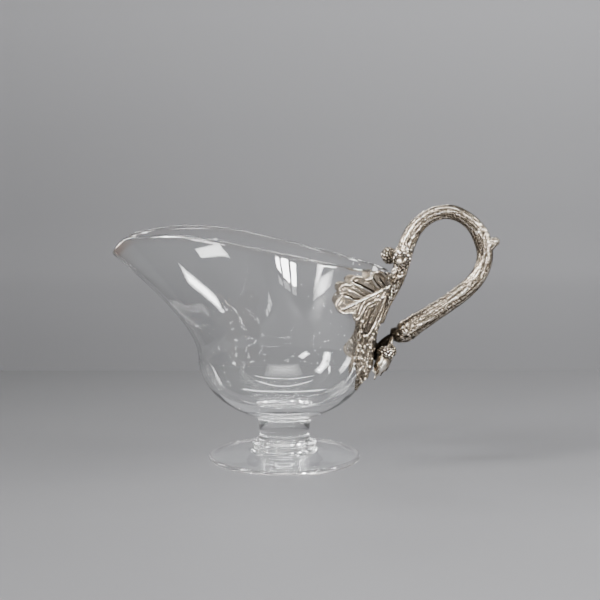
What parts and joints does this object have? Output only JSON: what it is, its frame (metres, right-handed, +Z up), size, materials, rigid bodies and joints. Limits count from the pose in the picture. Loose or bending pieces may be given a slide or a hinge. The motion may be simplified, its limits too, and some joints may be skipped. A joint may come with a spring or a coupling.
{
  "type": "footed sauce boat",
  "caption": "Footed sauce boat: clear glass bowl with a pouring lip, on a stem and disc foot, and a pewter branch handle with oak leaves and acorns.",
  "frame": {"origin": "centre of the foot's flat contact ring, in its plane, on the stem's axis", "axes": "+Z up; +X from the stem's axis towards the handle, so -X is the pouring lip; the object is near enough mirror-symmetric in Y"},
  "size_m": [0.2296, 0.104, 0.1521],
  "materials": {
    "clear_glass": "clear, fire polished",
    "pewter": "cast and antiqued, raised parts burnished bright, recesses left dark",
    "clear_adhesive": "clear cured"
  },
  "bodies": {
    "root": {"bowl": "clear_glass", "stem": "clear_glass", "stem_collar": "clear_glass", "foot": "clear_glass", "branch": "pewter", "branch_stub": "pewter", "tie_twig": "pewter", "back_leaf": "pewter", "left_leaf": "pewter", "right_leaf": "pewter", "upper_left_cup": "pewter", "upper_left_nut": "pewter", "upper_left_stalk": "pewter", "upper_right_cup": "pewter", "upper_right_nut": "pewter", "upper_right_stalk": "pewter", "lower_left_cup": "pewter", "lower_left_nut": "pewter", "lower_left_stalk": "pewter", "lower_right_cup": "pewter", "lower_right_nut": "pewter", "lower_right_stalk": "pewter", "back_adhesive": "clear_adhesive", "left_adhesive": "clear_adhesive", "right_adhesive": "clear_adhesive"}
  },
  "joints": []
}
